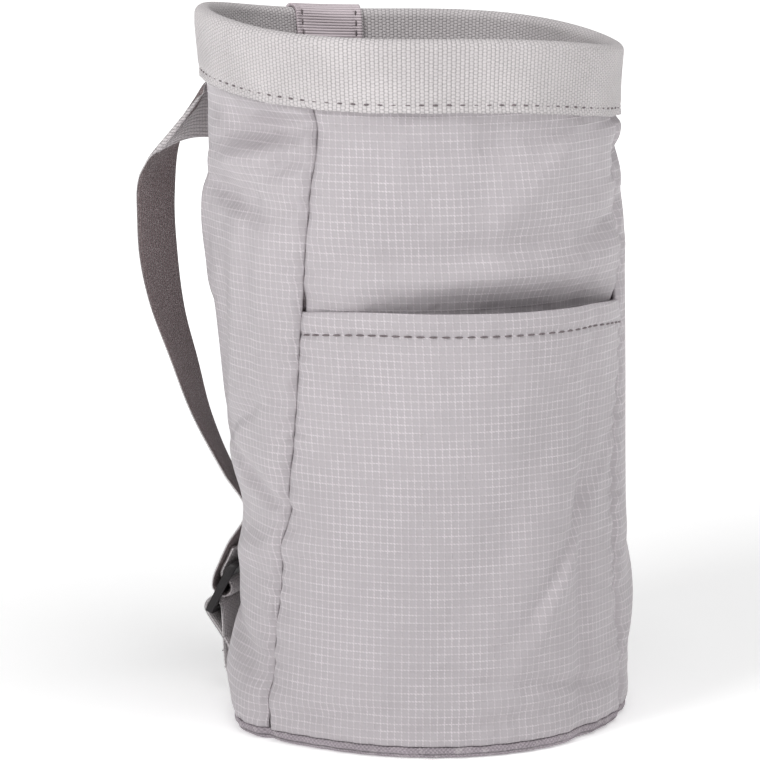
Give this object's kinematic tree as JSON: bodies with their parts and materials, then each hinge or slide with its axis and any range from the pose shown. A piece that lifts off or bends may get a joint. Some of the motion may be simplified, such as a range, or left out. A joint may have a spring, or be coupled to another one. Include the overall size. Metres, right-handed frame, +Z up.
{
  "type": "climbing chalk bag",
  "caption": "Soft cloth bucket with a folded webbing rim, a flat front pocket and a side webbing strap held by a ladder lock.",
  "frame": {"origin": "middle of the flat base, on the surface that the bag stands on", "axes": "+Z up out of the mouth, -Y out of the pocket's face, +X to the right as the pocket is faced"},
  "size_m": [0.1218, 0.1124, 0.1849],
  "materials": {
    "wall_cloth": "light warm grey ripstop with a slight sheen",
    "base_cloth": "plain woven, matt, a darker grey",
    "webbing": "matt light grey webbing",
    "tape": "ribbed grosgrain, matt",
    "buckle_plastic": "black moulded plastic, fine matt"
  },
  "bodies": {
    "root": {"base_panel": "base_cloth", "back_panel": "wall_cloth", "front_panel": "wall_cloth", "front_pocket": "wall_cloth", "rim_band": "webbing", "joint_tape": "tape", "side_strap": "webbing", "ladder_lock": "buckle_plastic", "buckle_tab": "webbing"}
  },
  "joints": []
}
